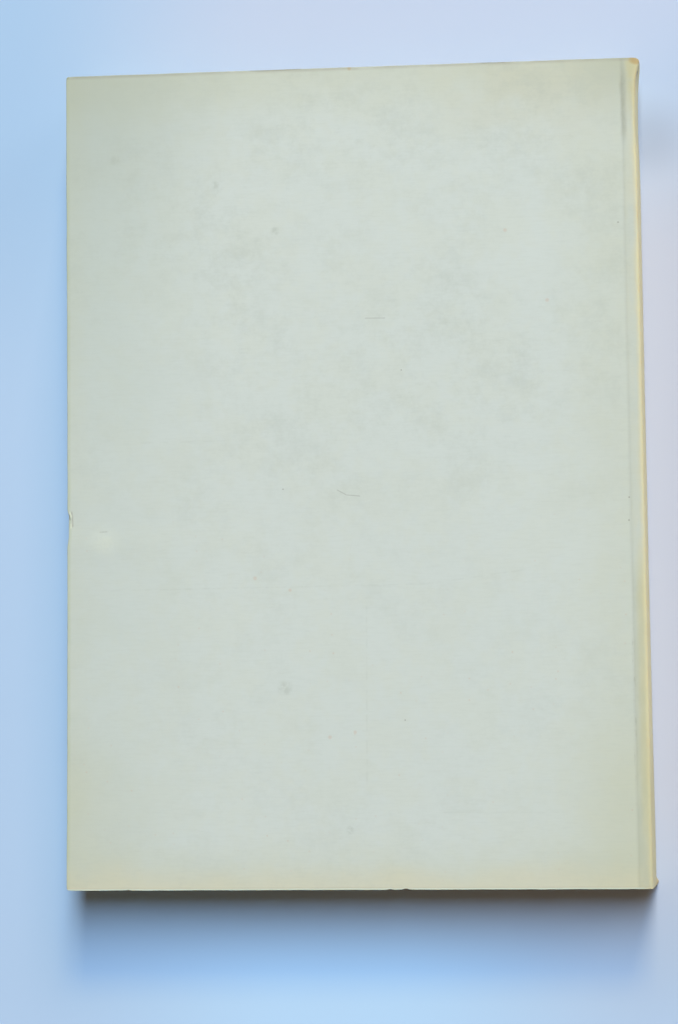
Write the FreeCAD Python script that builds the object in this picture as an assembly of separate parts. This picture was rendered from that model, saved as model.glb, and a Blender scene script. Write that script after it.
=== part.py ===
"""A paperback book, closed and lying on its front cover, with the back cover up.

Units are millimetres. +Y points to the head of the book, +X to its spine and +Z up.
The origin is the centre of the bottom of the book's bounding box.

While it is being made, x is measured from the back cover's spine corner, and z from the
surface that the book lies on. The last step moves every piece to the origin above.
"""

import FreeCAD
import Part

import math
import os

# The book as a whole
book_height = 240.0  # head to tail
cover_width = 168.0  # fore edge to spine, over one cover
book_thickness = 20.0  # over both covers
lean = 2.0  # how far the front cover has slid past the back cover, at the spine
spine_bulge = 0.5  # rise of the rounded spine over a straight one

# The cover, one sheet of card creased and wrapped round the pages
card_thickness = 0.35
fold_radius = 1.0  # outside radius where the card turns from a cover into the spine
hinge_width = 3.9  # glued strip from the spine corner to the crease that the cover turns on
crease_depth = 0.12  # groove pressed into the outside of the card along the crease
corner_radius = 0.8  # worn corners at the fore edge

# The adhesive that holds the leaves and the cover
spine_glue = 0.5  # film on the back of the leaves
side_glue = 0.1  # film under each hinge strip

# The leaves, trimmed as one block
page_setback = 0.2  # how far the leaves stop short of the cover's edges
gathering_count = 24  # folded groups that the leaves are bound in
groove_depth = 0.15  # between two gatherings, along the three trimmed edges
groove_width = 0.2

# Wear on the back cover and on the head of the spine
fore_dent_height = -15.0  # above the middle of the fore edge
fore_dent_length = 8.0
fore_dent_depth = 0.7
tail_nick_places = (14.2, 9.7, -66.0)  # along the tail edge, from the middle of the back cover
tail_nick_length = 1.4
tail_nick_depth = 0.3
head_chip_length = 2.4  # bite out of the head of the back spine fold
head_chip_depth = 0.6

# Worked out from the sizes above
half_height = book_height / 2
chord = math.hypot(book_thickness, lean)
arc_radius = chord**2 / (8 * spine_bulge) + spine_bulge / 2
centre_depth = arc_radius - spine_bulge  # from the middle of the chord to the arc's centre
arc_centre_x = lean / 2 - centre_depth * book_thickness / chord
arc_centre_z = book_thickness / 2 - centre_depth * lean / chord
page_inset = card_thickness + side_glue  # from the outside of a cover to the pages
back_inset = card_thickness + spine_glue  # from the outside of the spine to the pages
page_stack = book_thickness - 2 * page_inset
page_half_height = half_height - page_setback
past_the_edge = 5.0  # how far a cutting tool reaches past what it cuts


def spine_x(z, inset=0.0):
    """x of the rounded spine at height z, or of a surface that lies inset inside it."""
    return arc_centre_x + math.sqrt((arc_radius - inset) ** 2 - (z - arc_centre_z) ** 2)


leaf_width = spine_x(book_thickness - page_inset, back_inset) + cover_width - page_setback


def fore_x(z):
    """x of the fore edge of the leaves: all are as wide, so it follows the spine."""
    return spine_x(z, back_inset) - leaf_width


def section_point(x, z):
    return FreeCAD.Vector(x, 0, z)


def spine_arc(inset, top, bottom):
    """The rounded spine, seen from the tail, between two heights."""
    middle = (top + bottom) / 2
    places = [section_point(spine_x(z, inset), z) for z in (top, middle, bottom)]
    return Part.Arc(*places).toShape()


def closed_section(arc, corners):
    """A face in the XZ plane: the arc, then straight lines through the corners and back."""
    start, end = arc.Vertexes[0].Point, arc.Vertexes[-1].Point
    points = [end, *[section_point(x, z) for x, z in corners], start]
    lines = [Part.makeLine(a, b) for a, b in zip(points, points[1:])]
    return Part.Face(Part.Wire([arc, *lines]))


def from_head_to_tail(face, half_length):
    """The section swept along Y, the same distance to both sides of the middle."""
    placed = face.translated(FreeCAD.Vector(0, -half_length, 0))
    return placed.extrude(FreeCAD.Vector(0, 2 * half_length, 0))


def long_edges_at(solid, places):
    """The edges along Y that pass through the given x, z places."""
    found = []
    for edge in solid.Edges:
        start, end = edge.Vertexes[0].Point, edge.Vertexes[-1].Point
        along_y = abs(start.x - end.x) < 1e-6 and abs(start.z - end.z) < 1e-6
        if along_y and any(math.hypot(start.x - x, start.z - z) < 1e-4 for x, z in places):
            found.append(edge)
    return found


def rounded_spine_block(inset, half_length, corners):
    """A block bounded by the rounded spine, with its two spine corners folded round."""
    top, bottom = book_thickness - inset, inset
    face = closed_section(spine_arc(inset, top, bottom), corners)
    block = from_head_to_tail(face, half_length)
    folds = [(spine_x(z, inset), z) for z in (top, bottom)]
    return block.makeFillet(fold_radius - inset, long_edges_at(block, folds))


def inside_of_the_card(half_length):
    """What the wrapped card holds between its two creases: the adhesive and the pages."""
    corners = [
        (lean - hinge_width, card_thickness),
        (-hinge_width, book_thickness - card_thickness),
    ]
    return rounded_spine_block(card_thickness, half_length, corners)


def edge_bite(place, outwards, through, length, depth):
    """A round tool that bites length by depth out of the card's edge.

    place is the middle of the bite on the edge, outwards points away from the card in its
    own plane, and through is square to the card.
    """
    radius = length**2 / (8 * depth) + depth / 2
    start = place + outwards * (radius - depth)
    start -= through.normalize() * past_the_edge
    return Part.makeCylinder(radius, 2 * past_the_edge, start, through)


def make_cover_spine():
    """The middle of the cover sheet: the spine and the two hinge strips glued to the pages."""
    back_crease, front_crease = -hinge_width, lean - hinge_width
    corners = [
        (front_crease + crease_depth, 0),
        (front_crease, crease_depth),
        (front_crease, card_thickness),
        (back_crease, book_thickness - card_thickness),
        (back_crease, book_thickness - crease_depth),
        (back_crease + crease_depth, book_thickness),
    ]
    wrap = rounded_spine_block(0.0, half_height, corners)
    wrap = wrap.cut(inside_of_the_card(half_height))
    fold_end = FreeCAD.Vector(0, half_height, book_thickness)
    out_of_the_fold = FreeCAD.Vector(1, 0, 1)
    headwards = FreeCAD.Vector(0, 1, 0)
    chip = edge_bite(fold_end, headwards, out_of_the_fold, head_chip_length, head_chip_depth)
    return wrap.cut(chip)


def untrimmed_leaves(fore_edge):
    """The leaves glued at the back, with the fore edge as (x, z) points, bottom to top.

    They run past the head and the tail. Where their back meets the outermost leaves, it
    stays inside the round of the two folds, with room for the side glue.
    """
    top, bottom = book_thickness - page_inset, page_inset
    half_length = half_height + past_the_edge
    block = from_head_to_tail(closed_section(spine_arc(back_inset, top, bottom), fore_edge), half_length)
    far_left = -cover_width - past_the_edge
    room = rounded_spine_block(page_inset, half_length, [(far_left, bottom), (far_left, top)])
    return block.common(room)


def make_spine_adhesive():
    """The film on the back of the leaves, and the two thin films under the hinge strips."""
    top, bottom = book_thickness - page_inset, page_inset
    past_the_creases = -2 * hinge_width
    leaves = untrimmed_leaves([(past_the_creases, bottom), (past_the_creases, top)])
    return inside_of_the_card(page_half_height).cut(leaves)


def trimmed_edge(edge_at, inwards):
    """The trimmed edge of the leaves as (place, z) points, from the bottom to the top.

    edge_at(z) is where the edge lies, and inwards is +1 or -1, the way into the block.
    Each gathering has a flat edge, with half a groove above it and half below.
    """
    gathering = page_stack / gathering_count
    points = []
    for number in range(gathering_count):
        low = page_inset + number * gathering
        high = low + gathering
        points.append((edge_at(low) + inwards * groove_depth, low))
        points.append((edge_at(low), low + groove_width / 2))
        points.append((edge_at(high), high - groove_width / 2))
    points.append((edge_at(high) + inwards * groove_depth, high))
    return points


def make_text_block():
    """All the leaves as one solid, with a line between the gatherings on three edges."""
    tail = trimmed_edge(lambda z: -page_half_height, +1)
    head = trimmed_edge(lambda z: page_half_height, -1)
    far_left = -cover_width - past_the_edge
    points = [FreeCAD.Vector(far_left, y, z) for y, z in tail + head[::-1]]
    head_and_tail = Part.Face(Part.makePolygon([*points, points[0]]))
    reach = cover_width + lean + spine_bulge + 2 * past_the_edge
    between_them = head_and_tail.extrude(FreeCAD.Vector(reach, 0, 0))
    return untrimmed_leaves(trimmed_edge(fore_x, +1)).common(between_them)


def cover_outline(fore_edge, crease):
    """A cover seen from above: square at the crease, with worn corners at the fore edge."""
    width = crease - fore_edge
    plate = Part.makeBox(
        width, book_height, card_thickness, FreeCAD.Vector(fore_edge, -half_height, 0)
    )
    worn = [
        edge
        for edge in plate.Edges
        if abs(edge.BoundBox.ZLength - card_thickness) < 1e-6
        and abs(edge.CenterOfMass.x - fore_edge) < 1e-6
    ]
    return plate.makeFillet(corner_radius, worn)


def groove_tool(crease):
    """What the crease takes off the upper side of a cover plate that ends at it."""
    corners = [
        (crease, card_thickness - crease_depth),
        (crease, card_thickness),
        (crease - crease_depth, card_thickness),
    ]
    points = [section_point(x, z) for x, z in corners]
    face = Part.Face(Part.makePolygon([*points, points[0]]))
    return from_head_to_tail(face, half_height + past_the_edge)


def make_back_cover():
    """The upper cover, from the fore edge to its crease, with its dent and nicks."""
    plate = cover_outline(-cover_width, -hinge_width).cut(groove_tool(-hinge_width))
    up, leftwards, tailwards = (FreeCAD.Vector(*v) for v in ((0, 0, 1), (-1, 0, 0), (0, -1, 0)))
    dent_place = FreeCAD.Vector(-cover_width, fore_dent_height, 0)
    plate = plate.cut(edge_bite(dent_place, leftwards, up, fore_dent_length, fore_dent_depth))
    for along in tail_nick_places:
        place = FreeCAD.Vector(along - cover_width / 2, -half_height, 0)
        plate = plate.cut(edge_bite(place, tailwards, up, tail_nick_length, tail_nick_depth))
    return plate.translated(FreeCAD.Vector(0, 0, book_thickness - card_thickness))


def make_front_cover():
    """The cover that the book lies on, with its outside and its crease facing down."""
    crease = lean - hinge_width
    plate = cover_outline(lean - cover_width, crease).cut(groove_tool(crease))
    middle = FreeCAD.Vector(0, 0, card_thickness / 2)
    return plate.mirror(middle, FreeCAD.Vector(0, 0, 1))


def main():
    pieces = {
        "text_block": make_text_block(),
        "spine_adhesive": make_spine_adhesive(),
        "cover_spine": make_cover_spine(),
        "back_cover": make_back_cover(),
        "front_cover": make_front_cover(),
    }
    left = pieces["back_cover"].optimalBoundingBox().XMin
    right = pieces["cover_spine"].optimalBoundingBox().XMax
    to_origin = FreeCAD.Vector(-(left + right) / 2, 0, 0)
    os.makedirs("parts", exist_ok=True)
    for name, shape in pieces.items():
        placed = shape.translated(to_origin)
        placed.exportStep(f"parts/{name}.step")
        print(f"{name}: {len(placed.Solids)} solid, {placed.Volume:.1f} mm3, {placed.BoundBox}")
    print(f"the back cover's spine corner is at x = {to_origin.x:.4f} mm")


main()
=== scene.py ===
"""The looks of a closed paperback that lies on its front cover: card, leaves, glue, the
surface under it, the light and the camera.

Lengths are millimetres, and MM turns them into metres where a mesh, light or camera is made.
The cover is one sheet of card, so its finish is laid out on the sheet. A place on the sheet
is (across, along): across is x on the back cover and runs on round the spine to the front
cover's fore edge, and along is y, towards the head.
"""

import math

import bpy
import numpy as np
from mathutils import Euler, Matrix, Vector


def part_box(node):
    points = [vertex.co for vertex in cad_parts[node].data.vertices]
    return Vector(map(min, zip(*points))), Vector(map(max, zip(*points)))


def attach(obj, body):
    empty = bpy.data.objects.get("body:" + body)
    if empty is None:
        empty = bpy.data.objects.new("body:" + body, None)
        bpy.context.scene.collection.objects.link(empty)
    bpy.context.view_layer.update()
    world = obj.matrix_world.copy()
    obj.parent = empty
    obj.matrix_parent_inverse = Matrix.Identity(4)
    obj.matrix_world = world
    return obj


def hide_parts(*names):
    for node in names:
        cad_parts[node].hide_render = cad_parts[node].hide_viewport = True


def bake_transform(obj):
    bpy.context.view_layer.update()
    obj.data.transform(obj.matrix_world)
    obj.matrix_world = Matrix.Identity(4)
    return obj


MM = 0.001

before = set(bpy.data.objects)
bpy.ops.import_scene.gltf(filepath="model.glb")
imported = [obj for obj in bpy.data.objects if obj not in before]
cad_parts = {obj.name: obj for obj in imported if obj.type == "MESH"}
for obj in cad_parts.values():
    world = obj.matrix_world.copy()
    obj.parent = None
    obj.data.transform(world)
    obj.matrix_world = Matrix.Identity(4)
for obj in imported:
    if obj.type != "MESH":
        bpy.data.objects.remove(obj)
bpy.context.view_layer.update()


def box_in_mm(node):
    low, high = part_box(node)
    return np.array(low) / MM, np.array(high) / MM


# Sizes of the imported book
back_low, back_high = box_in_mm("back_cover")
front_low, front_high = box_in_mm("front_cover")
pages_low, pages_high = box_in_mm("text_block")
half_height = back_high[1]
book_thickness = back_high[2]
card_thickness = front_high[2]
lean = front_low[0] - back_low[0]
fore_edge = back_low[0]
back_crease = back_high[0]
front_crease = front_high[0]

# Sizes of the card and of the spine that no box gives
hinge_width = 3.9  # from a crease to the spine corner
spine_bulge = 0.5
fold_radius = 1.0
crease_depth = 0.12
crease_half_width = 0.5
seam_past_crease = 1.4  # where a cover's piece meets the spine's, on the glued strip
corner_radius = 0.8
cut_rounding = 0.08  # the trimmed edge of the card is a little round
spine_corner = back_crease + hinge_width

# Wear on the back cover and the spine. A hump or a hollow is (height or depth, place, half width)
fore_bow = 0.3  # the fore edge has shrunk most near its middle
fore_bow_place = -15.0  # along the fore edge
fore_bow_reach = 20.0  # across the cover
fore_dent_ends = (-10.4, -19.0)  # along the fore edge: steep at the head end, gentle at the other
fore_dent_slopes = (1.2, 2.0)  # half the length over which each end sinks
fore_dent_depth = 0.45
fore_dent_reach = 2.5
turned_rim_end = (-16.4, -14.2)  # the rim is turned over from the dent's head end to here
turned_rim = (0.10, 0.75, 0.35)  # its place is from the fore edge
turned_valley = (0.14, 1.35, 0.35)
swell_beside_dent = (0.14, -20.5, 4.0)
sunk_rim = (0.08, -11.6, 0.7)  # at the dent's head end
dimple = (0.07, -16.3, 0.4)
dimple_across = spine_corner - 157.0
tail_nicks = (
    (0.35, spine_corner - 69.8, 0.9),
    (0.3, spine_corner - 74.3, 0.5),
    (0.2, spine_corner - 150.0, 0.5),
)
head_corner_bend = 0.12  # the back cover's fore corner at the head is bent down
head_chip_across = -0.4  # a small brown chip on the back cover's head edge
head_flare = 1.4  # the head of the back spine fold is pulled outwards
head_flare_reach = 8.0
head_tip_radius = 1.0  # the flared tip has worn round
head_waist = (0.32, 101, 10)  # under the flare
front_fold_waist = (0.15, 48, 30)
front_fold_swell = 0.22  # the front fold stands out more towards the tail
tail_ear = 0.8  # the tail of the front spine fold is bumped outwards
tail_ear_place = 0.9  # from the tail
tail_pull = 0.6  # the tail of the front spine fold is pulled down as well

# Spacing of the rows of points on the card
shown_step = 1.5
spine_step = 1.6
hidden_step = 2.2
at_trimmed_edge = (0.05, 0.4)  # closer rows: gap and reach
at_crease = (0.1, 0.7)


def smooth_step(value, start, end):
    share = np.clip((value - start) / (end - start), 0, 1)
    return share * share * (3 - 2 * share)


def bell(value, middle, half_width):
    return np.exp(-(((value - middle) / half_width) ** 2))


def hump(value, height, middle, half_width):
    return height * bell(value, middle, half_width)


def ripple(x, y, wavelength, seed, waves=7):
    """A smooth uneven surface between about -1 and 1, the same each time for one seed."""
    random = np.random.default_rng(seed)
    total = np.zeros(np.broadcast(x, y).shape)
    for _ in range(waves):
        angle, phase = random.uniform(0, 2 * math.pi, 2)
        length = wavelength * random.uniform(0.7, 1.6)
        total += np.sin(2 * math.pi * (x * math.cos(angle) + y * math.sin(angle)) / length + phase)
    return total / math.sqrt(waves) / 1.4


def rows(low, high, step, close_places=()):
    """Positions from low to high, a step apart, and closer near each (place, gap, reach)."""
    at = np.linspace(low, high, 8001)
    per_mm = np.full(at.shape, 1 / step)
    for place, gap, reach in close_places:
        per_mm += bell(at, place, reach) / gap
    counted = np.concatenate([[0], np.cumsum((per_mm[1:] + per_mm[:-1]) / 2 * np.diff(at))])
    return np.interp(np.linspace(0, counted[-1], round(counted[-1]) + 1), counted, at)


# Meshes


def quads(first, across_count, along_count, flip=False):
    """Faces of a grid whose points are numbered from first, along running fastest."""
    i, j = np.meshgrid(np.arange(across_count - 1), np.arange(along_count - 1), indexing="ij")
    a = first + i * along_count + j
    corners = [a, a + along_count, a + along_count + 1, a + 1]
    if flip:
        corners.reverse()
    return np.stack([c.ravel() for c in corners], axis=1)


def wall(upper, lower):
    """Faces between two rows of point numbers."""
    return np.stack([upper[:-1], lower[:-1], lower[1:], upper[1:]], axis=1)


def make_mesh(name, points, faces, kinds, places, materials):
    """A smooth mesh with one material kind for each face and a place on the sheet for each point."""
    mesh = bpy.data.meshes.new(name)
    mesh.from_pydata((points * MM).tolist(), [], faces.tolist())
    mesh.polygons.foreach_set("material_index", kinds)
    mesh.polygons.foreach_set("use_smooth", np.ones(len(faces), bool))
    layer = mesh.attributes.new("place", "FLOAT_VECTOR", "POINT")
    layer.data.foreach_set("vector", places.astype(np.float32).ravel())
    for material in materials:
        mesh.materials.append(material)
    piece = bpy.data.objects.new(name, mesh)
    bpy.context.scene.collection.objects.link(piece)
    return piece


def keep_edges_sharp(piece, rims):
    """Stops smooth shading from running round the rims of a sheet, given their points' numbers."""
    mesh = piece.data
    ends = np.zeros(2 * len(mesh.edges), np.int32)
    mesh.edges.foreach_get("vertices", ends)
    ends = ends.reshape(-1, 2)
    sharp = np.any([np.isin(ends, rim).all(axis=1) for rim in rims], axis=0)
    layer = mesh.attributes.new("sharp_edge", "BOOLEAN", "EDGE")
    layer.data.foreach_set("value", sharp)


def edge_drop(distance):
    """How far a face falls near a trimmed edge that has been rounded."""
    inward = np.clip(cut_rounding - distance, 0, cut_rounding)
    return cut_rounding - np.sqrt(cut_rounding**2 - inward**2)


def card_piece(name, base, places, from_edge, materials):
    """A closed sheet of card. base is the grid of points on its outer face, across by along.

    from_edge is each point's distance from the nearest trimmed edge.
    """
    across_count, along_count = base.shape[:2]
    normal = np.cross(np.gradient(base, axis=0), np.gradient(base, axis=1))
    normal /= np.linalg.norm(normal, axis=2, keepdims=True)
    drop = edge_drop(from_edge)[..., None]
    outer = base - normal * drop
    inner = base - normal * (card_thickness - drop)
    points = np.concatenate([outer.reshape(-1, 3), inner.reshape(-1, 3)])
    count = across_count * along_count
    number = np.arange(count).reshape(across_count, along_count)
    loop = np.concatenate([number[:, 0], number[-1, 1:], number[-2::-1, -1], number[0, -2::-1]])
    parts = [
        quads(0, across_count, along_count),
        quads(count, across_count, along_count, flip=True),
        wall(loop, loop + count),
    ]
    kinds = np.concatenate([np.full(len(part), kind) for kind, part in enumerate(parts)])
    flat = np.concatenate([places, np.zeros((*places.shape[:2], 1))], axis=2).reshape(-1, 3)
    piece = make_mesh(name, points, np.concatenate(parts), kinds, np.concatenate([flat, flat]), materials)
    keep_edges_sharp(piece, [loop, loop + count])
    return piece


# The cover


def round_corners(from_fore, along):
    """Pulls the two corners at a fore edge into arcs. Gives the moved values."""
    from_end = half_height - np.abs(along)
    a = np.clip(corner_radius - from_fore, 0, None)
    b = np.clip(corner_radius - from_end, 0, None)
    shrink = np.maximum(a, b) / np.maximum(np.hypot(a, b), 1e-9)
    inside = (a > 0) & (b > 0)
    from_fore = np.where(inside, corner_radius - a * shrink, from_fore)
    from_end = np.where(inside, corner_radius - b * shrink, from_end)
    return from_fore, np.sign(along) * (half_height - from_end)


def crease_drop(past_crease, along):
    """Depth of the groove at a distance from the crease: firmer near the head and the tail."""
    firmness = 0.3 + 0.15 * ripple(0 * along, along, 60, seed=13) + 0.3 * smooth_step(along, 60, 100)
    half_width = crease_half_width * (1 + 0.25 * ripple(0 * along, along, 25, seed=14))
    return crease_depth * firmness * bell(past_crease, 0, half_width)


def make_back_cover(materials):
    """The upper cover and the start of its glued strip, with its dent, nicks, waves and crease."""
    seam = back_crease + seam_past_crease
    nick_rows = [(place, 0.22, width * 1.3) for _, place, width in tail_nicks]
    close_x = [(fore_edge, *at_trimmed_edge), (back_crease, *at_crease), *nick_rows]
    x = rows(fore_edge, seam, shown_step, close_x)
    dent_head, dent_tail = fore_dent_ends
    dent_rows = ((dent_head + dent_tail) / 2, 0.3, 5.0)
    close_y = [(-half_height, *at_trimmed_edge), (half_height, *at_trimmed_edge), dent_rows]
    y = rows(-half_height, half_height, shown_step, close_y)
    x, y = np.meshgrid(x, y, indexing="ij")
    places = np.stack([x, y], axis=2)
    from_fore, moved_y = round_corners(x - fore_edge, y)
    from_edge = np.minimum(x - fore_edge, half_height - np.abs(y))

    from_bow = (y - fore_bow_place) / (half_height + fore_bow_place)
    bow = fore_bow * np.clip(1 - from_bow**2, 0, 1)
    head_slope, tail_slope = fore_dent_slopes
    dent = fore_dent_depth * smooth_step(y, dent_head + head_slope, dent_head - head_slope)
    dent = dent * smooth_step(y, dent_tail - tail_slope, dent_tail + tail_slope)
    uneven = 0.04 * ripple(0 * x, y, 9, seed=3)
    moved_x = fore_edge + from_fore + bow * np.exp(-from_fore / fore_bow_reach)
    moved_x += (dent + uneven) * np.exp(-from_fore / fore_dent_reach)
    for nick in tail_nicks:
        moved_y = moved_y + hump(x, *nick) * np.exp(-(y + half_height) / 0.9)
    moved_y = moved_y + 0.03 * ripple(x, 0 * y, 8, seed=5) * np.exp(-(half_height - np.abs(y)) / 3)

    in_dent = smooth_step(y, dent_head + 0.8, dent_head - 0.8) * smooth_step(y, *turned_rim_end)
    groove = crease_drop(x - back_crease, y)
    z = book_thickness - groove - 0.05 + 0.05 * ripple(x, y, 70, seed=11)
    z += hump(y, *swell_beside_dent) * np.exp(-from_fore / 30)
    z += in_dent * (hump(from_fore, *turned_rim) - hump(from_fore, *turned_valley))
    z -= hump(y, *sunk_rim) * np.exp(-from_fore / 0.5)
    z -= hump(y, *dimple) * bell(x, dimple_across, 1.3)
    flat_strip = smooth_step(x, back_crease, back_crease + 0.8)
    z = z * (1 - flat_strip) + (book_thickness - groove) * flat_strip
    z -= head_corner_bend * np.exp(-(from_fore + half_height - y) / 1.8)
    base = np.stack([moved_x, moved_y, z], axis=2)
    return card_piece("back_cover_sheet", base, places, from_edge, materials)


def spine_path():
    """The outside of the sheet between the two seams: x, z and the distance across the sheet."""
    chord = math.hypot(book_thickness, lean)
    radius = chord**2 / (8 * spine_bulge) + spine_bulge / 2
    depth = radius - spine_bulge
    centre_x = spine_corner + lean / 2 - depth * book_thickness / chord
    centre_z = book_thickness / 2 - depth * lean / chord
    fold_z = np.array([book_thickness - fold_radius, fold_radius])
    fold_x = centre_x + np.sqrt((radius - fold_radius) ** 2 - (fold_z - centre_z) ** 2)
    turn = np.arctan2(fold_z - centre_z, fold_x - centre_x)
    strip_count, fold_count, wall_count = 9, 12, 40
    back_strip = np.linspace(back_crease + seam_past_crease, fold_x[0], strip_count)[:-1]
    front_strip = np.linspace(fold_x[1], front_crease + seam_past_crease, strip_count)[1:]
    angles = [
        np.linspace(math.pi / 2, turn[0], fold_count)[:-1],
        np.linspace(turn[0], turn[1], wall_count),
        np.linspace(turn[1], -math.pi / 2, fold_count)[1:],
    ]
    arcs = [
        (fold_x[0], fold_z[0], fold_radius),
        (centre_x, centre_z, radius),
        (fold_x[1], fold_z[1], fold_radius),
    ]
    arc_x = [cx + r * np.cos(a) for (cx, _, r), a in zip(arcs, angles)]
    arc_z = [cz + r * np.sin(a) for (_, cz, r), a in zip(arcs, angles)]
    x = np.concatenate([back_strip, *arc_x, front_strip])
    z = np.concatenate([book_thickness + 0 * back_strip, *arc_z, 0 * front_strip])
    steps = np.hypot(np.diff(x), np.diff(z))
    return x, z, x[0] + np.concatenate([[0], np.cumsum(steps)])


path_x, path_z, path_across = spine_path()
front_seam_across = path_across[-1]
front_fore_across = front_seam_across + front_crease + seam_past_crease - front_low[0]
front_crease_across = front_seam_across + seam_past_crease
fold_across = float(np.interp(book_thickness - 0.3 * fold_radius, path_z[::-1], path_across[::-1]))
front_fold_across = float(np.interp(0.3 * fold_radius, path_z[::-1], path_across[::-1]))


def make_spine(materials):
    """The spine wall and the two glued strips, with its rubbed head and bumped tail."""
    ends = [
        (-half_height, 0.06, 0.5),
        (half_height, 0.06, 0.5),
        (half_height, 0.3, 4.0),
        (-half_height, 0.3, 3.0),
    ]
    along = rows(-half_height, half_height, spine_step, ends)
    across, y = np.meshgrid(path_across, along, indexing="ij")
    x = np.repeat(path_x[:, None], len(along), axis=1)
    z = np.repeat(path_z[:, None], len(along), axis=1)
    places = np.stack([across, y], axis=2)
    from_edge = half_height - np.abs(y)

    flared = z / book_thickness * smooth_step(x, back_crease + seam_past_crease, spine_corner - 0.3)
    at_front_fold = bell(z, 0, 3.0) * smooth_step(x, front_crease + seam_past_crease, spine_corner + lean)
    short_of_tip = np.clip(head_tip_radius - from_edge, 0, head_tip_radius)
    worn_round = head_tip_radius - np.sqrt(head_tip_radius**2 - short_of_tip**2)
    at_head = smooth_step(y, half_height - head_flare_reach, half_height)
    x = x + (head_flare * at_head - 0.8 * worn_round * (y > 0)) * flared
    x = x + tail_ear * bell(y, tail_ear_place - half_height, 0.8) * at_front_fold
    on_wall = smooth_step(z, 0.4, 3.0) * smooth_step(book_thickness - z, 0.4, 3.0)
    past_the_strips = smooth_step(x, spine_corner - 1.5, spine_corner)
    x = x + on_wall * (0.07 * ripple(z * 2, y, 55, seed=21) - 0.05)
    stray = front_fold_swell * smooth_step(-y, 40, 110) - hump(y, *front_fold_waist)
    x = x + stray * bell(z, 0, 8.0) * past_the_strips
    x = x - hump(y, *head_waist) * past_the_strips
    y = y - tail_pull * bell(z, 0, 5.0) * past_the_strips * np.exp(-(y + half_height) / 2.0)
    y = y - 0.35 * bell(across, fold_across + 0.6, 1.0) * np.exp(-(half_height - y) / 0.8)
    y = y + 0.03 * ripple(across, 0 * y, 5, seed=23) * np.exp(-from_edge / 2)
    base = np.stack([x, y, z], axis=2)
    return card_piece("spine_sheet", base, places, from_edge, materials)


def make_front_cover(materials):
    """The cover that the book lies on, from its seam to its fore edge, with its face down."""
    seam = front_crease + seam_past_crease
    low = front_low[0]
    x = rows(low, seam, hidden_step, [(low, *at_trimmed_edge), (front_crease, *at_crease)])[::-1]
    ends = [(-half_height, *at_trimmed_edge), (half_height, *at_trimmed_edge)]
    y = rows(-half_height, half_height, hidden_step, ends)
    x, y = np.meshgrid(x, y, indexing="ij")
    places = np.stack([front_seam_across + seam - x, y], axis=2)
    from_edge = np.minimum(x - low, half_height - np.abs(y))
    from_fore, moved_y = round_corners(x - low, y)
    moved_x = low + from_fore + 0.04 * ripple(0 * x, y, 9, seed=31) * np.exp(-from_fore / 2.5)
    z = crease_drop(x - front_crease, y)
    base = np.stack([moved_x, moved_y, z], axis=2)
    return card_piece("front_cover_sheet", base, places, from_edge, materials)


# The leaves

leaf_count = 190
gathering_count = 24
leaf_shift = 0.035  # how unevenly single leaves are trimmed
gathering_shift = 0.05
leaf_gap_depth = 0.07
gathering_gap_depth = 0.1
leaf_reach = 0.1  # no leaf sticks out further than this
leaf_wander = 0.02  # how far a trimmed edge strays from a straight line
leaf_clearance = 0.02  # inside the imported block, under the lowest leaf and at the fore edge
leaf_slack = 0.13  # the pressed leaves end a little under the back cover
fold_zone = 2.0  # the outermost leaves end where those this far in do, clear of the folds
spine_glue = 0.5
back_inset = card_thickness + spine_glue


def back_of_leaves(z):
    """x of the back of the leaves at height z: the spine's curve, further in."""
    on_spine = np.interp(z, path_z[::-1], path_x[::-1])
    return on_spine - back_inset


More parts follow.
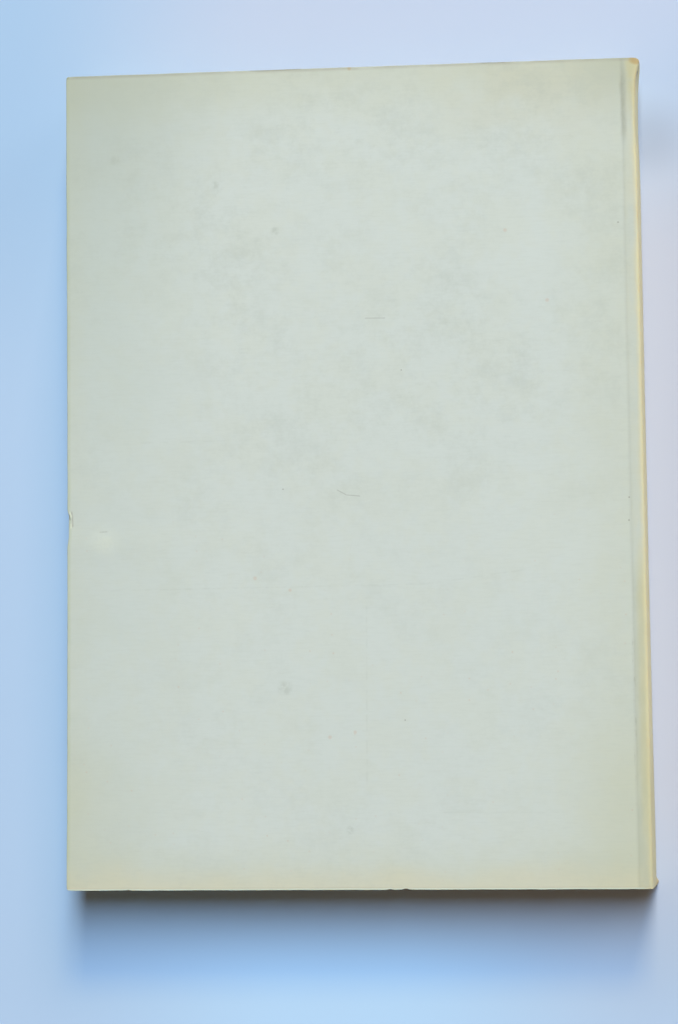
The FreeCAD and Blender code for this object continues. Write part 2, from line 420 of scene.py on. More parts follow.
def make_leaves(materials):
    """The block of leaves: each leaf is a thin ledge along the three trimmed edges."""
    low, high = pages_low[2] + leaf_clearance, pages_high[2] - leaf_slack
    random = np.random.default_rng(41)
    leaf = (high - low) / leaf_count
    gathering_of = np.arange(leaf_count) * gathering_count // leaf_count
    leaf_shifts = random.normal(0, leaf_shift, leaf_count)
    gathering_shifts = random.normal(0, gathering_shift, gathering_count)
    shift = leaf_shifts + gathering_shifts[gathering_of]
    last_of_gathering = np.diff(gathering_of, append=gathering_count) > 0
    gap = leaf_gap_depth * random.uniform(0.4, 1.0, leaf_count)
    gap = gap + gathering_gap_depth * last_of_gathering
    phase = random.uniform(0, 2 * math.pi, leaf_count)

    levels, insets, owners = [], [], []
    for number in range(leaf_count):
        for share, extra in ((0.15, 0.0), (0.75, 0.0), (0.97, gap[number])):
            levels.append(low + (number + share) * leaf)
            insets.append(max(shift[number] + extra, -leaf_reach))
            owners.append(number)
    levels, insets, owners = np.array(levels), np.array(insets), np.array(owners)

    fore_count, head_count = 40, 30
    share_y = np.linspace(-1, 1, fore_count)
    share_x = np.linspace(0, 1, head_count)
    top_width = back_of_leaves(np.array([high]))[0] - pages_low[0]
    middle = (low + high) / 2
    height = pages_high[1]
    first, last = fold_zone, high - fold_zone
    back_places = back_of_leaves(np.array([first, first, middle, last, last]))
    back = np.interp(levels, [low, first, middle, last, high], back_places)
    fore = back - top_width
    rings = []
    for z, inset, owner, right, left in zip(levels, insets, owners, back, fore):
        wander = leaf_wander * np.sin(share_y * 5 + phase[owner])
        top_y = height - inset
        fore_side = np.stack([left + inset + wander + leaf_clearance, share_y * top_y], axis=1)
        head_x = left + inset + (right - left - inset) * share_x
        wave = leaf_wander * np.sin(share_x * 6 + phase[owner]) * np.sin(share_x * math.pi)
        head_side = np.stack([head_x, top_y + wave], axis=1)[1:-1]
        back_side = np.stack([np.full(fore_count, right), share_y[::-1] * top_y], axis=1)
        tail_side = np.stack([head_x[::-1], -top_y - wave[::-1]], axis=1)[1:-1]
        ring = np.concatenate([fore_side, head_side, back_side, tail_side])
        rings.append(np.column_stack([ring, np.full(len(ring), z)]))
    ring_size = len(rings[0])
    points = np.concatenate(rings)
    number = np.arange(len(points)).reshape(-1, ring_size)
    closed = np.concatenate([number, number[:, :1]], axis=1)
    lower, upper = closed[:-1], closed[1:]
    sides = np.stack([lower[:, :-1], upper[:, :-1], upper[:, 1:], lower[:, 1:]], axis=2).reshape(-1, 4)

    faces, kinds = [sides], [np.zeros(len(sides), int)]
    for ring, flip in ((number[-1], False), (number[0], True)):
        cap, points = cap_faces(ring, points, fore_count, head_count, flip)
        faces.append(cap)
        kinds.append(np.ones(len(cap), int))
    places = points.copy()
    return make_mesh("leaf_block", points, np.concatenate(faces), np.concatenate(kinds), places, materials)


def cap_faces(ring, points, fore_count, head_count, flip):
    """A grid of faces that closes a ring, with new points inside it."""
    grid = np.zeros((head_count, fore_count), int)
    grid[0] = ring[:fore_count]
    grid[-1] = ring[fore_count + head_count - 2 : 2 * fore_count + head_count - 2][::-1]
    grid[1:-1, -1] = ring[fore_count : fore_count + head_count - 2]
    grid[1:-1, 0] = ring[2 * fore_count + head_count - 2 :][::-1]
    share = np.linspace(0, 1, head_count)[1:-1, None, None]
    left, right = points[grid[0, 1:-1]][None], points[grid[-1, 1:-1]][None]
    inner = left * (1 - share) + right * share
    grid[1:-1, 1:-1] = len(points) + np.arange(inner[..., 0].size).reshape(inner.shape[:2])
    points = np.concatenate([points, inner.reshape(-1, 3)])
    faces = quads(0, head_count, fore_count, flip)
    return grid.ravel()[faces], points


# Finishes


def srgb(red, green, blue):
    """A colour as it looks on a screen, 0 to 255, as the linear colour that shaders take."""
    linear = []
    for value in (red / 255, green / 255, blue / 255):
        curve = ((value + 0.055) / 1.055) ** 2.4
        linear.append(value / 12.92 if value <= 0.04045 else curve)
    return (*linear, 1.0)


class Finish:
    """A material whose nodes are added and joined one sum at a time."""

    def __init__(self, name):
        self.material = bpy.data.materials.new(name)
        self.material.use_nodes = True
        self.nodes = self.material.node_tree.nodes
        self.links = self.material.node_tree.links
        self.shader = self.nodes["Principled BSDF"]
        place = self.nodes.new("ShaderNodeAttribute")
        place.attribute_name = "place"
        self.place = place.outputs["Vector"]
        split = self.nodes.new("ShaderNodeSeparateXYZ")
        self.links.new(self.place, split.inputs[0])
        self.across, self.along, self.up = split.outputs

    def put(self, socket, value):
        """Joins a socket to an output, or sets it to a plain number or colour."""
        if isinstance(value, bpy.types.NodeSocket):
            self.links.new(value, socket)
        else:
            socket.default_value = value

    def sum(self, operation, *values):
        node = self.nodes.new("ShaderNodeMath")
        node.operation = operation
        for socket, value in zip(node.inputs, values):
            self.put(socket, value)
        return node.outputs[0]

    def chain(self, operation, values):
        """The operation on the first two values, then on its result and the next, to the last."""
        total = values[0]
        for value in values[1:]:
            total = self.sum(operation, total, value)
        return total

    def times(self, *values):
        return self.chain("MULTIPLY", values)

    def plus(self, *values):
        return self.chain("ADD", values)

    def most(self, *values):
        return self.chain("MAXIMUM", values)

    def least(self, *values):
        return self.chain("MINIMUM", values)

    def minus(self, value, taken):
        return self.sum("SUBTRACT", value, taken)

    def fade(self, value, start, end, low=0.0, high=1.0):
        """low at start and high at end, with a smooth change between."""
        node = self.nodes.new("ShaderNodeMapRange")
        node.interpolation_type = "SMOOTHSTEP"
        for socket, number in zip(node.inputs, (value, start, end, low, high)):
            self.put(socket, number)
        return node.outputs[0]

    def mix(self, first, second, *shares):
        """The first colour, giving way to the second by the product of the shares."""
        node = self.nodes.new("ShaderNodeMix")
        node.data_type = "RGBA"
        self.put(node.inputs["Factor"], self.times(*shares))
        self.put(node.inputs[6], first)
        self.put(node.inputs[7], second)
        return node.outputs[2]

    def scaled(self, size, shift=(0, 0, 0)):
        """The place, in units of a size in millimetres for each direction."""
        node = self.nodes.new("ShaderNodeMapping")
        self.links.new(self.place, node.inputs["Vector"])
        node.inputs["Scale"].default_value = [1 / s for s in size]
        node.inputs["Location"].default_value = shift
        return node.outputs[0]

    def noise(self, size, detail=3.0, roughness=0.55, shift=(0, 0, 0)):
        """Uneven patches of about that size, between 0 and 1."""
        size = size if isinstance(size, tuple) else (size, size, size)
        node = self.nodes.new("ShaderNodeTexNoise")
        self.links.new(self.scaled(size, shift), node.inputs["Vector"])
        node.inputs["Scale"].default_value = 1.0
        node.inputs["Detail"].default_value = detail
        node.inputs["Roughness"].default_value = roughness
        return node.outputs["Fac"]

    def stray(self, reach, size, **kind):
        """Uneven distances, between about half the reach to one side and half to the other."""
        return self.sum("MULTIPLY_ADD", self.noise(size, **kind), reach, -reach / 2)

    def specks(self, spacing, radius, share):
        """Small spots of uneven strength, in a share of the cells of a grid a spacing wide."""
        node = self.nodes.new("ShaderNodeTexVoronoi")
        self.links.new(self.scaled((spacing, spacing, spacing)), node.inputs["Vector"])
        node.voronoi_dimensions = "2D"
        node.inputs["Scale"].default_value = 1.0
        chance = self.nodes.new("ShaderNodeSeparateColor")
        self.links.new(node.outputs["Color"], chance.inputs[0])
        ragged = self.noise(0.8, shift=(5, 5, 0))
        frayed = self.sum("MULTIPLY_ADD", ragged, radius / spacing, node.outputs["Distance"])
        spot = self.fade(frayed, 1.5 * radius / spacing, 0.7 * radius / spacing)
        return self.times(spot, self.fade(chance.outputs[0], 1 - share, 1))

    def spot(self, across, along, radius, core=0.3, stretch=1.0):
        """1 at a place on the sheet and 0 past a radius from it, stretched across the sheet."""
        node = self.nodes.new("ShaderNodeVectorMath")
        node.operation = "DISTANCE"
        self.links.new(self.scaled((stretch, 1, 1)), node.inputs[0])
        node.inputs[1].default_value = (across / stretch, along, 0)
        return self.fade(node.outputs["Value"], radius, radius * core)

    def between(self, value, low, high, soft):
        """1 between two values, with soft ends."""
        rising = self.fade(value, low - soft, low + soft)
        falling = self.fade(value, high + soft, high - soft)
        return self.times(rising, falling)

    def line(self, start, end, width):
        """1 along a thin straight line on the sheet."""
        length = math.dist(start, end)
        way = ((end[0] - start[0]) / length, (end[1] - start[1]) / length)
        distances = []
        for direction in (way, (-way[1], way[0])):
            node = self.nodes.new("ShaderNodeVectorMath")
            node.operation = "DOT_PRODUCT"
            self.links.new(self.place, node.inputs[0])
            node.inputs[1].default_value = (*direction, 0)
            from_origin = direction[0] * start[0] + direction[1] * start[1]
            distances.append(self.minus(node.outputs["Value"], from_origin))
        along_line, off_line = distances
        on_length = self.between(along_line, 0, length, width)
        return self.times(on_length, self.fade(self.sum("ABSOLUTE", off_line), width, 0.2 * width))

    def spots(self, places):
        return self.most(*[self.spot(*place) for place in places])

    def lines(self, all_ends):
        return self.most(*[self.line(*ends) for ends in all_ends])

    def bump(self, height, distance):
        node = self.nodes.new("ShaderNodeBump")
        node.inputs["Distance"].default_value = distance * MM
        self.put(node.inputs["Height"], height)
        self.links.new(node.outputs["Normal"], self.shader.inputs["Normal"])

    def finish(self, colour, roughness, gloss=0.3):
        self.put(self.shader.inputs["Base Color"], colour)
        self.put(self.shader.inputs["Roughness"], roughness)
        self.shader.inputs["Specular IOR Level"].default_value = gloss
        return self.material


clean_card = srgb(207, 215, 208)
warm_card = srgb(207, 213, 200)
# greyer card, and painted shade where the light falls off
greyed_and_shaded_card = srgb(178, 190, 180)
toned_card = srgb(196, 198, 168)
warm_tail = srgb(216, 208, 172)
soiled_card = srgb(176, 184, 172)
# grime, and painted shade where the light falls off
grime_and_painted_shade = srgb(158, 166, 148)
tan_stain = srgb(200, 200, 176)
yellowed_card = srgb(208, 203, 160)
sunned_card = srgb(222, 213, 168)
# a painted light: the spine wall is coloured lighter than the sunned card on top
sunned_wall_painted_light = srgb(228, 221, 182)
browned_card = srgb(206, 176, 124)
rubbed_card = srgb(188, 160, 108)
# soil on the head rim, and painted shade in the dent's valley
rim_soil_and_painted_shade = srgb(140, 132, 112)
fore_rim = srgb(176, 188, 148)
# dirt in the crease, and painted shade of its groove
crease_soil_and_shade = srgb(146, 147, 128)
olive_soil = srgb(146, 150, 116)
# a painted highlight
highlight_white = srgb(236, 240, 214)
foxing = srgb(200, 168, 142)
# dirt, and painted shade in and beside the dent
dirt_and_painted_shade = srgb(112, 112, 100)
# pale fibres at the tail rim, and a painted highlight
pale_fibre_and_highlight = srgb(208, 222, 206)

# Single marks on the back cover as (across, along, radius)
smudges = (
    (-22.8, 71.6, 1.6),
    (-21.0, -62.3, 2.8),
    (-2.6, -103.0, 1.6),
    (-70.3, 94.3, 2.0),
    (-40.5, 85.9, 1.6),
)
dark_dots = (
    (-21.1, -4.6, 0.3),
    (13.8, 29.6, 0.3),
    (13.6, -71.8, 0.3),
    (back_crease - 0.3, -8.7, 0.35),
    (back_crease - 0.5, -15.3, 0.35),
    (back_crease - 1.8, 71.4, 0.35),
    (fore_edge + 0.3, half_height - 0.3, 0.7),
)
foxed_places = (
    (-29.5, -30.4, 0.8),
    (-19.3, -34.0, 0.7),
    (-8.1, -76.5, 0.8),
    (-0.8, -75.1, 0.7),
    (44.6, 70.0, 0.8),
    (56.4, 49.1, 0.8),
)
# Scratches and faint pressed lines as (start, end, width)
scratches = (
    ((-5.3, -5.1), (-2.6, -6.6), 0.22),
    ((-2.6, -6.6), (1.4, -7.0), 0.22),
    ((3.4, 45.1), (9.3, 45.0), 0.2),
)
pressed_lines = (
    ((-72.0, -33.4), (20.0, -32.8), 0.4),
    ((20.0, -32.8), (52.0, -28.6), 0.4),
    ((-63.0, 9.7), (-37.5, 9.9), 0.4),
    ((2.9, -36.0), (2.4, -93.0), 0.4),
    ((23.3, -98.1), (57.4, -98.3), 0.35),
)
# The turned-over rim in the dent, with across counted from the fore edge: a painted shadow, painted
# highlights on its crest and a painted shade in its valley
dent_shadow = ((0.1, -10.9), (0.5, -12.6), 0.4)
dent_crest_highlight = (((0.55, -10.1), (0.85, -11.8), 0.4), ((0.8, -13.6), (0.75, -15.0), 0.3))
dent_valley_shade = ((1.2, -10.2), (1.35, -14.6), 0.35)
# A painted shade (a dark dash) and a painted highlight (a pale patch) beside the dent, with across counted
# from the spine corner
dent_dash_shade = ((-158.3, -16.3), (-156.0, -16.15), 0.4)
dent_pale_highlight = (-157.1, -18.8, 6.0)


def mottling(f):
    """Grey-green blotches of all sizes, most of them in the half towards the head."""
    blotches = f.noise((21, 18, 18), detail=5, roughness=0.88)
    where = f.fade(f.noise(45, detail=2, shift=(3, 7, 0)), 0.32, 0.62, 0.3, 1.0)
    upper = f.fade(f.along, -60, 60, 0.5, 1.0)
    return f.times(f.fade(blotches, 0.41, 0.72), where, upper)


def near(f, distance, reach, strength):
    """strength at an edge, fading unevenly to 0 at a reach from it."""
    ragged = f.stray(12.0, 24, detail=4)
    return f.fade(f.plus(distance, ragged), reach, 0, 0.0, strength)


def from_fore_edges(f):
    """The distance from the nearer of the sheet's two fore edges."""
    from_back_fore = f.minus(f.across, fore_edge)
    from_front_fore = f.minus(front_fore_across, f.across)
    return f.least(from_back_fore, from_front_fore)


def from_creases(f):
    """The distance from the nearer crease."""
    from_back = f.sum("ABSOLUTE", f.minus(f.across, back_crease))
    from_front = f.sum("ABSOLUTE", f.minus(f.across, front_crease_across))
    return f.least(from_back, from_front)


def toning(f):
    """How yellow the card has gone near its trimmed ends and its creases."""
    total = f.plus(
        near(f, f.minus(half_height, f.along), 20, 0.36),
        near(f, f.plus(half_height, f.along), 18, 0.34),
        near(f, from_creases(f), 26, 0.26),
        near(f, from_fore_edges(f), 9, 0.16),
        f.times(f.spot(fore_edge, -half_height + 22, 34, core=0.0), 0.34),
        f.times(f.spot(back_crease, -half_height + 24, 40, core=0.0), 0.32),
    )
    return f.least(total, 0.85)


def marks(f, colour):
    """The single marks: smudges, dots, foxing, scratches and faint lines."""
    where = f.fade(f.noise(25, shift=(5, 5, 0)), 0.4, 0.6)
    specks = f.times(f.specks(6.5, 0.42, 0.6), f.fade(f.along, 5, -40), where)
    colour = f.mix(colour, foxing, specks, 0.3)
    colour = f.mix(colour, foxing, f.spots(foxed_places), 0.3)
    frayed = f.fade(f.noise(1.6, detail=3), 0.3, 0.6)
    smudged = f.spots(smudges)
    colour = f.mix(colour, soiled_card, smudged, frayed, 0.45)
    colour = f.mix(colour, dirt_and_painted_shade, f.spots(dark_dots), 0.55)
    broken = f.fade(f.noise(3, detail=3, shift=(8, 1, 0)), 0.4, 0.6)
    colour = f.mix(colour, dirt_and_painted_shade, f.lines(scratches), 0.32)
    pressed = f.lines(pressed_lines)
    return f.mix(colour, soiled_card, pressed, broken, 0.14)


def dent_marks(f, colour):
    """Painted light at the dent: a shadow, highlights and shade on its turned-over edge, and a painted
    shade and a painted highlight beside it.
    """
    uneven = f.fade(f.noise((0.8, 1.6, 1), detail=3, shift=(3, 3, 0)), 0.3, 0.6, 0.5, 1.0)

    def along_fore_edge(start, end, width):
        return f.line((fore_edge + start[0], start[1]), (fore_edge + end[0], end[1]), width)

    across, along, radius = dent_pale_highlight
    pale_highlight_mask = f.spot(spine_corner + across, along, radius, core=0.1)
    # A painted highlight beside the dent.
    colour = f.mix(colour, highlight_white, pale_highlight_mask, uneven, 0.16)
    (x0, y0), (x1, y1), width = dent_dash_shade
    dash_shade_mask = f.line((spine_corner + x0, y0), (spine_corner + x1, y1), width)
    # A painted shade beside the dent.
    colour = f.mix(colour, dirt_and_painted_shade, dash_shade_mask, uneven, 0.24)
    # Painted shade in the dent's valley.
    colour = f.mix(colour, rim_soil_and_painted_shade, along_fore_edge(*dent_valley_shade), uneven, 0.5)
    crest_highlight_mask = f.most(*[along_fore_edge(*ends) for ends in dent_crest_highlight])
    # Painted highlights on the turned-over crest.
    colour = f.mix(colour, highlight_white, crest_highlight_mask, uneven, 0.6)
    # A painted shadow at the dent's head end.
    return f.mix(colour, dirt_and_painted_shade, along_fore_edge(*dent_shadow), 0.6)


def hinge_strip(f, colour):
    """The strip between the back cover's crease and the fold, with the dirt and a thin painted shade in
    the crease.
    """
    past_crease = f.minus(f.across, back_crease)
    past_fold = f.minus(f.across, fold_across)
    ragged = f.stray(0.9, (2, 6, 2), detail=4, shift=(4, 1, 0))
    on_strip = f.times(f.fade(past_crease, -0.2, 0.5), f.fade(past_fold, 1.5, 0.5))
    uneven = f.fade(f.noise((6, 22, 6), detail=3, shift=(7, 7, 0)), 0.4, 0.62, 0.05, 0.4)
    towards_fold = f.fade(past_fold, -3.0, 0.0, 0.35, 1.0)
    colour = f.mix(colour, sunned_card, on_strip, uneven, towards_fold)
    colour = f.mix(colour, soiled_card, on_strip, 0.12)
    yellow_patch = f.times(f.between(f.along, -104, -27, 9), f.fade(past_fold, -3.4, -1.5))
    colour = f.mix(colour, yellowed_card, on_strip, yellow_patch, 0.55)
    handled = f.fade(f.noise((3, 9, 2), detail=3), 0.3, 0.6, 0.5, 1.0)
    colour = f.mix(colour, olive_soil, on_strip, f.fade(f.along, -24, -36), handled, 0.17)

    # A darker line along the crease: dirt ticks, and a thin painted shade of the groove along its whole
    # length.
    at_crease = f.fade(f.sum("ABSOLUTE", f.plus(past_crease, f.times(ragged, 0.5))), 0.7, 0.1)
    ticks = f.fade(f.noise((1, 3.5, 1), detail=3, roughness=0.7, shift=(1, 1, 0)), 0.45, 0.7)
    ticks = f.times(f.between(f.along, -92, -42, 8), ticks)
    colour = f.mix(colour, crease_soil_and_shade, at_crease, f.most(f.times(ticks, 0.35), 0.1))
    beside_crease = f.fade(f.sum("ABSOLUTE", f.plus(past_crease, ragged, -0.4)), 1.3, 0.2)
    head_dirt = f.fade(f.noise((3, 6, 3), detail=4, roughness=0.7), 0.25, 0.6, 0.35, 1.0)
    head_dirt = f.times(beside_crease, f.between(f.along, 97, 116, 4), head_dirt)
    return f.mix(colour, crease_soil_and_shade, head_dirt, 0.42)


def sunned_spine(f, colour):
    """The spine that daylight has turned yellow, browner towards the surface it lies on, with a painted
    light on its wall, which is coloured lighter than the sunned card on top.
    """
    past_crease = f.minus(f.across, back_crease)
    past_fold = f.minus(f.across, fold_across)
    short_of_front = f.minus(front_seam_across, f.across)
    ragged = f.stray(1.0, (2, 6, 2), detail=4, shift=(4, 1, 0))
    on_spine = f.fade(short_of_front, 2.4, 3.2)
    mottled = f.fade(f.noise((2.5, 4, 2), detail=4, roughness=0.75, shift=(1, 6, 0)), 0.3, 0.65, 0.35, 1.0)
    towards_head = f.fade(f.plus(f.along, f.times(past_fold, 3.0), f.times(ragged, 8.0)), 92, 110)
    at_head = f.times(towards_head, f.fade(f.plus(past_crease, ragged), 0.6, 2.6), mottled)
    colour = f.mix(colour, yellowed_card, on_spine, at_head, 0.85)
    sunned = f.fade(f.plus(past_fold, ragged), -1.6, 0.4)
    colour = f.mix(colour, sunned_card, on_spine, sunned, 0.85)
    # Painted light: the wall past the fold is coloured lighter, standing in for the light it lacks from
    # the side.
    colour = f.mix(colour, sunned_wall_painted_light, on_spine, f.fade(past_fold, -0.1, 0.8))
    low_wall = f.fade(past_fold, 6.0, 19.0)
    colour = f.mix(colour, browned_card, on_spine, low_wall, 0.4)
    patches = f.fade(f.noise((5, 9, 5), detail=5, roughness=0.7, shift=(2, 9, 0)), 0.5, 0.75)
    colour = f.mix(colour, browned_card, on_spine, sunned, patches, 0.3)
    handled = f.most(f.times(f.fade(f.along, -70, -95), sunned), f.times(at_head, 0.8))
    return f.mix(colour, olive_soil, on_spine, handled, 0.18)


def trimmed_rims(f, colour):
    """The last millimetre of the face: soiled at the head, fibrous at the tail with a painted highlight, a
    rubbed tip.
    """
    from_head = f.minus(half_height, f.along)
    from_tail = f.plus(half_height, f.along)
    past_fold = f.minus(f.across, fold_across)
    from_fore = from_fore_edges(f)
    broken = f.fade(f.noise((9, 2, 2), detail=3, shift=(6, 2, 0)), 0.35, 0.6, 0.45, 1.0)
    patchy = f.fade(f.noise((2, 7, 2), detail=3, shift=(2, 6, 0)), 0.3, 0.6, 0.4, 1.0)
    colour = f.mix(colour, rim_soil_and_painted_shade, f.fade(from_head, 1.3, 0.2), broken, 0.33)
    colour = f.mix(colour, fore_rim, f.fade(from_fore, 1.4, 0.3), patchy, 0.42)
    colour = f.mix(colour, dirt_and_painted_shade, f.fade(from_fore, 0.28, 0.1), 0.3)
    dark_stretches = f.most(f.between(f.across, -29.8, -14.9, 1), f.between(f.across, 38.2, 45.5, 1))
    colour = f.mix(colour, dirt_and_painted_shade, f.fade(from_head, 0.45, 0.1), dark_stretches, 0.4)
    on_wall = f.between(past_fold, 1.5, 17.0, 0.5)
    colour = f.mix(colour, dirt_and_painted_shade, on_wall, f.fade(from_head, 0.6, 0.2), broken, 0.8)
    frayed = f.fade(f.noise((1, 1.2, 1), detail=2, shift=(4, 4, 0)), 0.35, 0.5)
    ragged = f.stray(3.0, (2, 2.5, 2), detail=4, shift=(3, 8, 0))
    down_wall, from_tip = f.plus(past_fold, ragged), f.plus(from_head, ragged)
    beside_tip = f.times(f.between(down_wall, 1.2, 2.8, 0.5), f.between(from_tip, 1.3, 5.2, 0.7))
    colour = f.mix(colour, dirt_and_painted_shade, beside_tip, frayed, 0.65)
    tip = f.spot(fold_across - 0.5, half_height - 0.8, 1.7, core=0.45)
    colour = f.mix(colour, rubbed_card, tip, 0.75)
    chip = f.spot(head_chip_across, half_height - 0.4, 0.8)
    colour = f.mix(colour, rubbed_card, chip, 0.5)
    ear = f.spot(front_fold_across, tail_ear_place - half_height, 3.0)
    colour = f.mix(colour, rubbed_card, ear, 0.4)
    colour = f.mix(colour, foxing, f.between(from_tail, 0.5, 0.8, 0.15), 0.12)
    on_face = f.fade(past_fold, -1.0, -3.0)
    # Pale fibres along the tail rim, and a painted highlight.
    return f.mix(colour, pale_fibre_and_highlight, f.fade(from_tail, 0.5, 0.25), on_face, 0.7)


def outside_finish():
    """The card's outer face, with the marks that age and handling left on it, and with painted shade and
    painted highlights where light falls unevenly on it.
    """
    f = Finish("card_outside")
    warmth = f.fade(f.noise(16, detail=3, roughness=0.8, shift=(9, 2, 0)), 0.4, 0.62, 0.0, 0.4)
    colour = f.mix(clean_card, warm_card, warmth)
    # Greyer towards the fore edges and the head: partly greyed card, partly painted shade where the light
    # falls off.
    greying_and_painted_falloff = near(f, from_fore_edges(f), 55, 0.5)
    colour = f.mix(colour, greyed_and_shaded_card, greying_and_painted_falloff, f.fade(f.along, -10, 70, 0.5, 1.0))
    colour = f.mix(colour, toned_card, toning(f))
    colour = f.mix(colour, warm_tail, near(f, f.plus(half_height, f.along), 9, 0.4))
    # Darker at the head corners: grime, and painted shade where the light falls off.
    head_corner_grime_and_shade = f.most(
        f.times(f.spot(fore_edge, half_height + 10, 75, core=0.0), 0.34),
        f.times(f.spot(back_crease, half_height, 24, core=0.0), 0.3),
    )
    colour = f.mix(colour, grime_and_painted_shade, head_corner_grime_and_shade)
    stain = f.fade(f.noise(20, detail=3, shift=(1, 5, 0)), 0.3, 0.6)
    stain = f.times(f.spot(52, 112, 26, core=0.1, stretch=1.6), stain)
    colour = f.mix(colour, tan_stain, stain, 0.5)
    colour = f.mix(colour, soiled_card, mottling(f), 0.33)
    fibre = f.noise((5, 0.7, 1), detail=3, roughness=0.6)
    colour = f.mix(colour, soiled_card, f.fade(fibre, 0.4, 0.8, 0.0, 0.11))
    colour = marks(f, colour)
    colour = hinge_strip(f, colour)
    colour = sunned_spine(f, colour)
    colour = trimmed_rims(f, colour)
    colour = dent_marks(f, colour)
    roughness = f.fade(f.noise(5, detail=3), 0.3, 0.7, 0.72, 0.86)
    f.bump(f.plus(f.times(fibre, 0.6), f.times(f.noise(0.9, detail=3), 0.5)), 0.009)
    return f.finish(colour, roughness)


def inside_finish():
    """The card's inner face: paler, with a brown tinge where it met the air."""
    f = Finish("card_inside")
    base, aged = srgb(222, 216, 196), srgb(200, 186, 150)
    colour = f.mix(base, aged, toning(f))
    streaks = f.noise((9, 1.2, 2), detail=4, roughness=0.7)
    colour = f.mix(colour, aged, f.fade(streaks, 0.45, 0.95, 0.0, 0.5))
    f.bump(f.noise(0.6, detail=3), 0.02)
    return f.finish(colour, f.fade(f.noise(4), 0.3, 0.7, 0.78, 0.9))


def cut_edge_finish():
    """The trimmed edge of the card, where its pale fibres show between soiled ones."""
    f = Finish("card_cut_edge")
    soil = f.noise((4, 4, 4), detail=5, roughness=0.7)
    colour = f.mix(srgb(208, 206, 180), srgb(164, 150, 118), f.fade(soil, 0.45, 0.8))
    f.bump(f.noise(0.3, detail=3), 0.03)
    return f.finish(colour, f.fade(f.noise(2), 0.3, 0.7, 0.8, 0.92))


def leaf_edge_finish():
    """The trimmed edges of the leaves: cream, each leaf a little different, dusty at the head."""
    f = Finish("leaf_edges")
    layers = f.noise((60, 60, 0.12), detail=3, roughness=0.7)
    colour = f.mix(srgb(222, 208, 172), srgb(184, 160, 118), f.fade(layers, 0.35, 0.7))
    at_head = f.fade(f.along, half_height - 1.5, half_height - 0.5)
    dusty = f.fade(f.noise(18, detail=4), 0.3, 0.65)
    colour = f.mix(colour, srgb(150, 134, 108), at_head, dusty, 0.4)
    outermost = f.fade(f.sum("ABSOLUTE", f.minus(f.up, book_thickness / 2)), 6.5, 9.6)
    colour = f.mix(colour, srgb(170, 140, 98), outermost, 0.45)
    stains = f.noise((5, 5, 1.5), detail=3, shift=(2, 2, 2))
    colour = f.mix(colour, srgb(150, 118, 84), f.fade(stains, 0.62, 0.78), 0.35)
    f.bump(f.noise((8, 8, 0.06), detail=2), 0.03)
    return f.finish(colour, f.fade(layers, 0.3, 0.7, 0.8, 0.92), gloss=0.2)


def leaf_face_finish():
    """The outermost leaves: cream paper that has browned from its edges inwards."""
    f = Finish("leaf_faces")
    from_edge = f.minus(half_height, f.sum("ABSOLUTE", f.along))
    from_edge = f.least(from_edge, f.minus(f.across, fore_edge))
    ragged = f.stray(12.0, 22, detail=4)
    browned = f.fade(f.plus(from_edge, ragged), 14, 0, 0.05, 0.7)
    colour = f.mix(srgb(226, 217, 190), srgb(196, 174, 128), browned)
    streaks = f.noise((1.5, 6, 2), detail=4, roughness=0.7)
    colour = f.mix(colour, srgb(208, 192, 152), f.fade(streaks, 0.45, 0.95, 0.0, 0.5))
    f.bump(f.noise(0.5, detail=3), 0.015)
    return f.finish(colour, f.fade(f.noise(4), 0.3, 0.7, 0.8, 0.9), gloss=0.2)


def glue_finish():
    """Old binding glue: amber and a little glossy, with darker streaks."""
    f = Finish("binding_glue")
    where = f.nodes.new("ShaderNodeTexCoord")
    streaks = f.nodes.new("ShaderNodeTexNoise")
    streaks.inputs["Scale"].default_value = 1 / (2.5 * MM)
    streaks.inputs["Detail"].default_value = 4.0
    f.links.new(where.outputs["Object"], streaks.inputs["Vector"])
    colour = f.mix(srgb(198, 164, 104), srgb(140, 100, 54), f.fade(streaks.outputs["Fac"], 0.35, 0.7))
    f.bump(streaks.outputs["Fac"], 0.05)
    return f.finish(colour, f.fade(streaks.outputs["Fac"], 0.3, 0.7, 0.35, 0.6), gloss=0.5)


# The surface that the book lies on, the light and the camera

floor_left = (0.485, 0.65, 0.865, 1.0)
# darker surface: painted contact shade beside the fore edge, and a darker tone towards the head
floor_darker_and_painted_shade = (0.405, 0.585, 0.805, 1.0)
floor_right = (0.55, 0.57, 0.66, 1.0)
floor_head = (0.54, 0.627, 0.795, 1.0)
floor_tail = (0.52, 0.745, 0.985, 1.0)
# a painted shadow on the surface beside the head of the spine
floor_painted_shadow = (0.25, 0.27, 0.34, 1.0)  # a faint grey patch beside the head of the spine
floor_far = (0.50, 0.60, 0.80, 1.0)
haze = (0.80, 0.81, 0.84, 1.0)
haze_glow = 0.955  # of the far surface, whose sheen adds the rest
floor_drop = card_thickness + 0.05  # room under the book for a front cover opened flat, just above the surface
floor_half_width = 20000.0


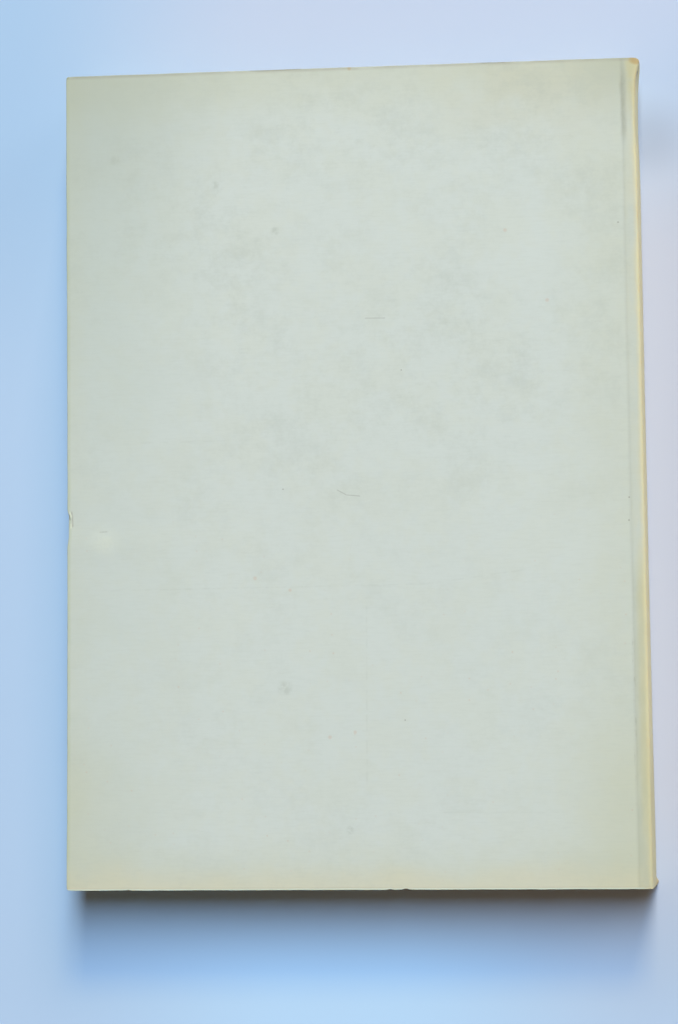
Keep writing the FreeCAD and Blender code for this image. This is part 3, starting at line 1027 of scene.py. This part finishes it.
def make_floor():
    """A pale plain surface: bluish at the left and near the tail, more neutral at the right, with painted
    shade beside the fore edge and a painted shadow beside the head of the spine.

    Far from the book it fades into the haze at the horizon.
    """
    signs = np.array([(-1, -1), (1, -1), (1, 1), (-1, 1)])
    corners = np.column_stack([signs * floor_half_width, np.full(4, -floor_drop)])
    f = Finish("floor")
    rightwards = f.times(f.fade(f.across, -100, 70), f.between(f.along, -137, 110, 50))
    # Painted contact shade on the surface beside the fore edge; the same darker colour spreads towards the
    # head.
    painted_shade_beside_fore_edge = f.times(f.fade(f.across, -106, -87), f.between(f.along, -150, 100, 20))
    colour = f.mix(floor_left, floor_darker_and_painted_shade, f.most(painted_shade_beside_fore_edge, f.fade(f.along, 10, 110)))
    colour = f.mix(colour, floor_right, rightwards)
    colour = f.mix(colour, floor_head, f.fade(f.along, 90, 145), f.fade(f.across, -110, -20))
    colour = f.mix(colour, floor_tail, f.fade(f.along, -120, -150), f.between(f.across, -60, 45, 40))
    # A painted shadow beside the head of the spine.
    colour = f.mix(colour, floor_painted_shadow, f.spot(88, 101, 16, core=0.1), 0.3)
    away = f.nodes.new("ShaderNodeVectorMath")
    away.operation = "LENGTH"
    f.links.new(f.place, away.inputs[0])
    distance = away.outputs["Value"]
    colour = f.mix(colour, floor_far, f.fade(distance, 160, 520))
    into_haze = f.fade(distance, 900, 4500)
    colour = f.mix(colour, (0.0, 0.0, 0.0, 1.0), into_haze)
    f.shader.inputs["Emission Color"].default_value = haze
    f.put(f.shader.inputs["Emission Strength"], f.times(into_haze, haze_glow))
    f.finish(colour, 0.6, gloss=0.2)
    floor = make_mesh("floor", corners, np.array([[0, 1, 2, 3]]), np.array([0]), corners, [f.material])


lamp_distance = 6000.0
dim_room = (0.11, 0.055, 0.01, 1.0)
camera_place = (46.5, -62.3, 639.5)
camera_turn = (4.618, 4.784, -0.615)  # degrees
sensor_width = 36.0
lens_length = 75.6


def make_lamp(name, azimuth, elevation, size, power, colour):
    """A soft rectangle of light turned to the book, at an azimuth counted from the spine's side."""
    azimuth, elevation = math.radians(azimuth), math.radians(elevation)
    level = math.cos(elevation)
    way = Vector((level * math.cos(azimuth), level * math.sin(azimuth), math.sin(elevation)))
    lamp = bpy.data.lights.new(name, "AREA")
    lamp.shape = "RECTANGLE"
    lamp.size, lamp.size_y = size[0] * MM, size[1] * MM
    lamp.energy = power
    lamp.color = colour
    holder = bpy.data.objects.new(name, lamp)
    holder.location = way * lamp_distance * MM
    holder.rotation_euler = way.to_track_quat("Z", "Y").to_euler()
    holder.visible_camera = False
    bpy.context.scene.collection.objects.link(holder)


def make_light():
    """A bluish window and a low warm lamp beyond the head, a faint light at the spine, a dim room."""
    make_lamp("window", 84, 59, (1700, 4500), 405.0, (0.59, 0.785, 1.0))
    make_lamp("low_light", 84, 35, (1700, 900), 165.0, (1.0, 0.62, 0.12))
    make_lamp("side_light", 40, 16, (3000, 1500), 58.0, (1.0, 0.93, 0.80))

    world = bpy.data.worlds.new("room")
    bpy.context.scene.world = world
    world.use_nodes = True
    nodes, links = world.node_tree.nodes, world.node_tree.links
    where = nodes.new("ShaderNodeTexCoord")
    split = nodes.new("ShaderNodeSeparateXYZ")
    height = nodes.new("ShaderNodeMapRange")
    height.interpolation_type = "SMOOTHSTEP"
    height.inputs["From Min"].default_value = 0.08
    height.inputs["From Max"].default_value = 0.4
    mixer = nodes.new("ShaderNodeMix")
    mixer.data_type = "RGBA"
    mixer.inputs[6].default_value = haze
    mixer.inputs[7].default_value = dim_room
    links.new(where.outputs["Generated"], split.inputs[0])
    links.new(split.outputs["Z"], height.inputs["Value"])
    links.new(height.outputs[0], mixer.inputs["Factor"])
    links.new(mixer.outputs[2], nodes["Background"].inputs["Color"])


def make_camera():
    """Almost straight above the book, a little towards its tail and its spine."""
    data = bpy.data.cameras.new("camera")
    data.lens = lens_length
    data.sensor_width = sensor_width
    data.clip_start, data.clip_end = 0.01, 20.0
    camera = bpy.data.objects.new("camera", data)
    camera.location = Vector(camera_place) * MM
    camera.rotation_euler = Euler([math.radians(a) for a in camera_turn])
    bpy.context.scene.collection.objects.link(camera)
    bpy.context.scene.camera = camera


def make_book():
    card = [outside_finish(), inside_finish(), cut_edge_finish()]
    back, spine, front = make_back_cover(card), make_spine(card), make_front_cover(card)
    leaves = make_leaves([leaf_edge_finish(), leaf_face_finish()])
    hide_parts("back_cover")
    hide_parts("cover_spine")
    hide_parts("front_cover")
    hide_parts("text_block")
    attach(spine, "book_block")
    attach(leaves, "book_block")
    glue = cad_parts["spine_adhesive"]
    glue.data.materials.clear()
    glue.data.materials.append(glue_finish())
    for piece, body, crease, height in (
        (back, "back_cover", back_crease, book_thickness),
        (front, "front_cover", front_crease, 0.0),
    ):
        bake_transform(piece)


bpy.context.scene.view_settings.view_transform = "Standard"
make_book()
make_floor()
make_light()
make_camera()
